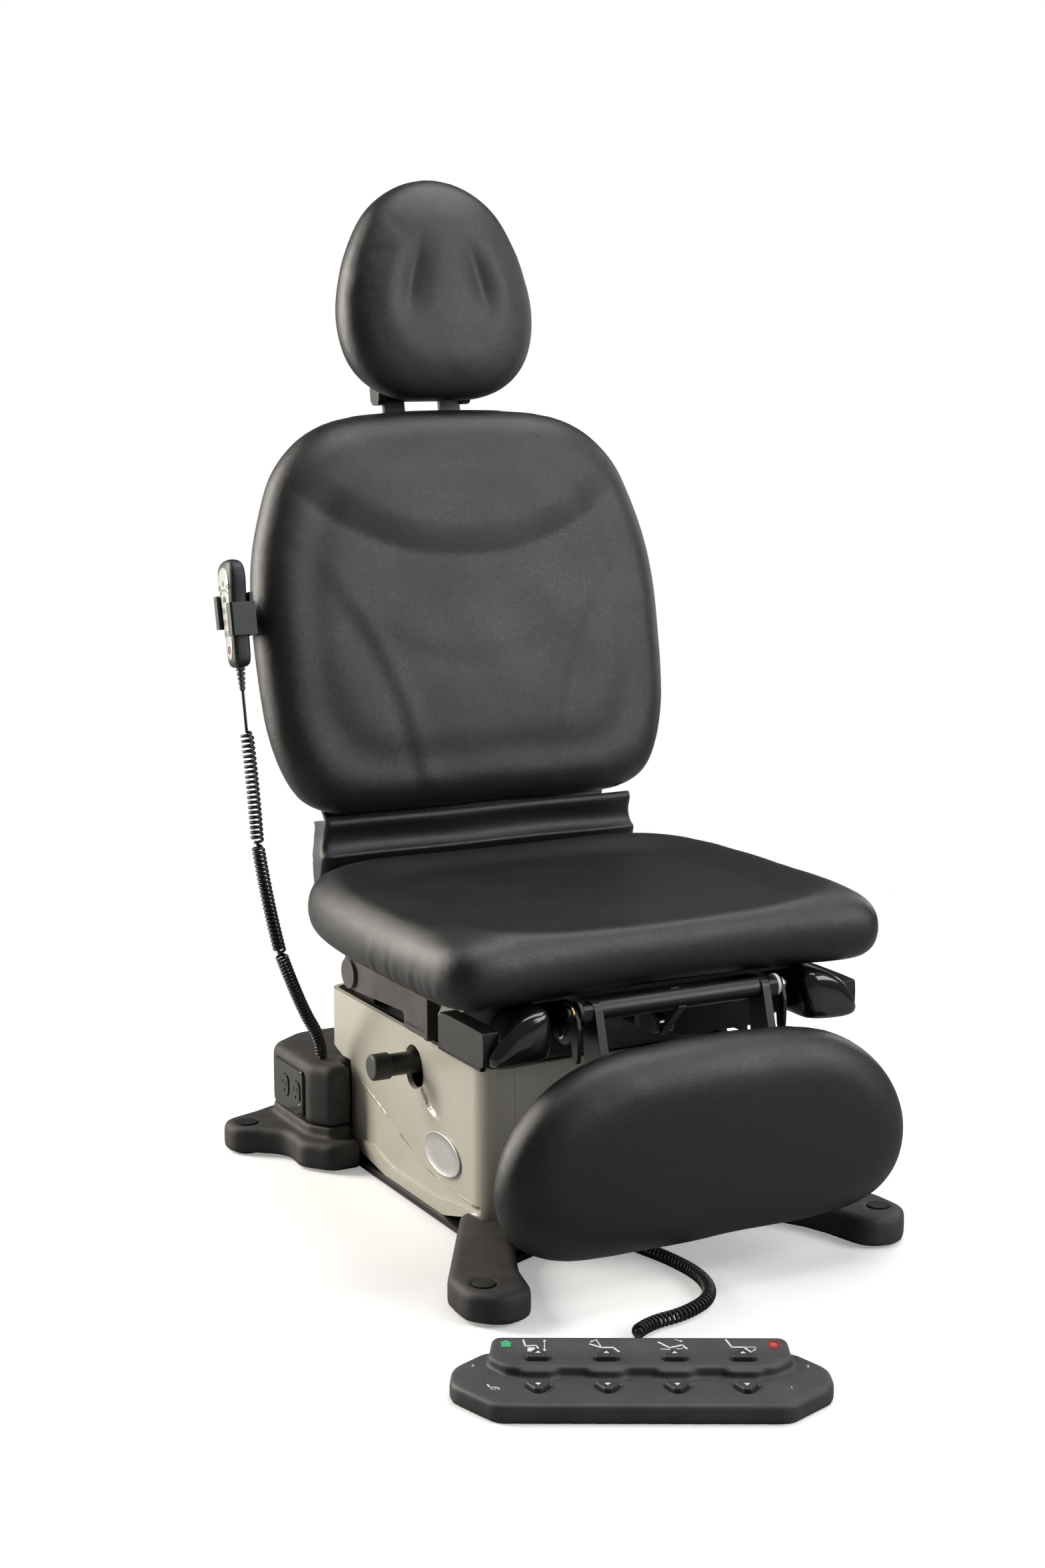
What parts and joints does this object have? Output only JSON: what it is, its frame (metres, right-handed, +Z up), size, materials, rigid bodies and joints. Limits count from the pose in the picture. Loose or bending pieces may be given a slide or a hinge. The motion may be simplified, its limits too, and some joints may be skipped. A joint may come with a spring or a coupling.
{
  "type": "powered procedure chair",
  "caption": "Upholstered powered procedure chair: lifting base with moulded cover, tilting seat, reclining back with headrest, folding foot section, hand control and foot control.",
  "frame": {"origin": "on the floor, on the chair's plane of symmetry, between the four feet", "axes": "+Z up, -Y the way the chair faces, +X to the patient's left"},
  "size_m": [0.835, 1.3318, 1.4906],
  "materials": {
    "upholstery": "satin",
    "cover_beige": "gloss",
    "charcoal_plastic": "matte",
    "gloss_black": "gloss",
    "black_plastic": "satin",
    "grey_metal": "satin",
    "black_metal": "satin",
    "steel": "satin",
    "rubber": "matte",
    "cord": "satin",
    "key_rubber": "matte",
    "nylon": "satin"
  },
  "bodies": {
    "base": {"base_plate": "black_metal", "levelling_glides": "rubber", "front_foot_cover_left": "charcoal_plastic", "front_foot_cover_right": "charcoal_plastic", "rear_base_cover": "charcoal_plastic", "foot_plugs": "black_plastic", "power_housing": "charcoal_plastic", "receptacle_panel": "gloss_black", "cover_left": "cover_beige", "cover_right": "cover_beige", "cover_front": "cover_beige", "cover_rear": "cover_beige", "base_column": "steel", "hand_curl_lower": "cord", "foot_cord_curl": "cord"},
    "lock_lever": {"lock_lever": "black_metal", "lock_lever_grip": "rubber"},
    "stage_1": {"lift_stage_1": "black_metal"},
    "stage_2": {"lift_stage_2": "black_metal"},
    "carriage": {"carriage": "black_metal", "upper_shroud": "black_metal", "tilt_pins": "grey_metal", "hand_curl_middle": "cord"},
    "seat": {"seat_frame": "black_metal", "side_arm_left": "grey_metal", "side_arm_right": "grey_metal", "accessory_plates": "black_metal", "corner_covers": "gloss_black", "seat_cushion": "upholstery", "hinge_pins": "steel", "hinge_washers": "nylon", "back_actuator": "black_metal", "foot_actuator": "black_metal", "hand_curl_upper": "cord"},
    "back": {"back_frame": "black_metal", "back_shell": "black_plastic", "back_cushion": "upholstery", "back_flap": "upholstery", "hand_control_clip": "black_metal", "hand_cord_lead": "cord"},
    "back_rod": {"back_rod": "steel"},
    "foot": {"foot_frame": "black_metal", "foot_shell": "black_plastic", "foot_cushion": "upholstery"},
    "foot_rod": {"foot_rod": "steel"},
    "headrest_bars": {"headrest_bars": "black_metal"},
    "headrest": {"headrest_plate": "black_metal", "headrest_cushion": "upholstery"},
    "hand_control": {"hand_control": "black_plastic", "hand_strain_relief": "rubber"},
    "foot_control": {"foot_control": "rubber", "foot_cord_lead": "cord"},
    "key_up_1": {"key_up_1": "key_rubber"},
    "key_up_2": {"key_up_2": "key_rubber"},
    "key_up_3": {"key_up_3": "key_rubber"},
    "key_up_4": {"key_up_4": "key_rubber"},
    "key_down_1": {"key_down_1": "key_rubber"},
    "key_down_2": {"key_down_2": "key_rubber"},
    "key_down_3": {"key_down_3": "key_rubber"},
    "key_down_4": {"key_down_4": "key_rubber"}
  },
  "joints": [
    {"name": "lock_lever_turn", "type": "hinge", "parent": "base", "child": "lock_lever", "pos_m": [-0.17, 0.045, 0.216], "axis": [0, -1, 0], "range_deg": [0, 16]},
    {"name": "lift", "type": "slide", "parent": "base", "child": "carriage", "axis": [0, 0, 1], "range_m": [0, 0.533], "deforming": ["hand_curl_lower"]},
    {"name": "stage_1_rise", "type": "slide", "parent": "base", "child": "stage_1", "axis": [0, 0, 1], "range_m": [0, 0.178]},
    {"name": "stage_2_rise", "type": "slide", "parent": "base", "child": "stage_2", "axis": [0, 0, 1], "range_m": [0, 0.3556]},
    {"name": "tilt", "type": "hinge", "parent": "carriage", "child": "seat", "pos_m": [0, 0.267, 0.298], "axis": [-1, 0, 0], "range_deg": [0, 30], "deforming": ["hand_curl_middle"]},
    {"name": "recline", "type": "hinge", "parent": "seat", "child": "back", "pos_m": [0, 0.25, 0.378], "axis": [-1, 0, 0], "range_deg": [0, 78], "deforming": ["hand_curl_upper", "back_flap"]},
    {"name": "back_rod_travel", "type": "slide", "parent": "seat", "child": "back_rod", "axis": [0, -1, 0], "range_m": [0, 0.0746]},
    {"name": "foot_raise", "type": "hinge", "parent": "seat", "child": "foot", "pos_m": [0, -0.348, 0.378], "axis": [-1, 0, 0], "range_deg": [0, 90]},
    {"name": "foot_rod_travel", "type": "slide", "parent": "seat", "child": "foot_rod", "axis": [0, -1, 0], "range_m": [0, 0.0881]},
    {"name": "headrest_height", "type": "slide", "parent": "back", "child": "headrest_bars", "axis": [0, 0.2079, 0.9781], "range_m": [0, 0.12]},
    {"name": "headrest_tilt", "type": "hinge", "parent": "headrest_bars", "child": "headrest", "pos_m": [0, 0.43323, 1.16306], "axis": [-1, 0, 0], "range_deg": [-7, 35]},
    {"name": "hand_control_lift", "type": "slide", "parent": "back", "child": "hand_control", "axis": [0, 0.2079, 0.9781], "range_m": [0, 0.1], "deforming": ["hand_cord_lead"]},
    {"name": "foot_control_move", "type": "slide", "parent": "base", "child": "foot_control", "axis": [-0.4772, -0.8788, 0], "range_m": [0, 0.15], "deforming": ["foot_cord_curl"]},
    {"name": "key_up_1_press", "type": "slide", "parent": "foot_control", "child": "key_up_1", "axis": [0, 0, -1], "range_m": [0, 0.0025], "stiffness_N_per_m": 700, "springref_m": -0.001},
    {"name": "key_up_2_press", "type": "slide", "parent": "foot_control", "child": "key_up_2", "axis": [0, 0, -1], "range_m": [0, 0.0025], "stiffness_N_per_m": 700, "springref_m": -0.001},
    {"name": "key_up_3_press", "type": "slide", "parent": "foot_control", "child": "key_up_3", "axis": [0, 0, -1], "range_m": [0, 0.0025], "stiffness_N_per_m": 700, "springref_m": -0.001},
    {"name": "key_up_4_press", "type": "slide", "parent": "foot_control", "child": "key_up_4", "axis": [0, 0, -1], "range_m": [0, 0.0025], "stiffness_N_per_m": 700, "springref_m": -0.001},
    {"name": "key_down_1_press", "type": "slide", "parent": "foot_control", "child": "key_down_1", "axis": [0, 0, -1], "range_m": [0, 0.0025], "stiffness_N_per_m": 700, "springref_m": -0.001},
    {"name": "key_down_2_press", "type": "slide", "parent": "foot_control", "child": "key_down_2", "axis": [0, 0, -1], "range_m": [0, 0.0025], "stiffness_N_per_m": 700, "springref_m": -0.001},
    {"name": "key_down_3_press", "type": "slide", "parent": "foot_control", "child": "key_down_3", "axis": [0, 0, -1], "range_m": [0, 0.0025], "stiffness_N_per_m": 700, "springref_m": -0.001},
    {"name": "key_down_4_press", "type": "slide", "parent": "foot_control", "child": "key_down_4", "axis": [0, 0, -1], "range_m": [0, 0.0025], "stiffness_N_per_m": 700, "springref_m": -0.001}
  ],
  "couplings": [
    {"joint": "stage_1_rise", "follows": "lift", "ratio": 0.33333},
    {"joint": "stage_2_rise", "follows": "lift", "ratio": 0.66667},
    {"joint": "back_rod_travel", "follows": "recline", "m_per_rad": 0.054725},
    {"joint": "foot_rod_travel", "follows": "foot_raise", "m_per_rad": 0.056022}
  ]
}
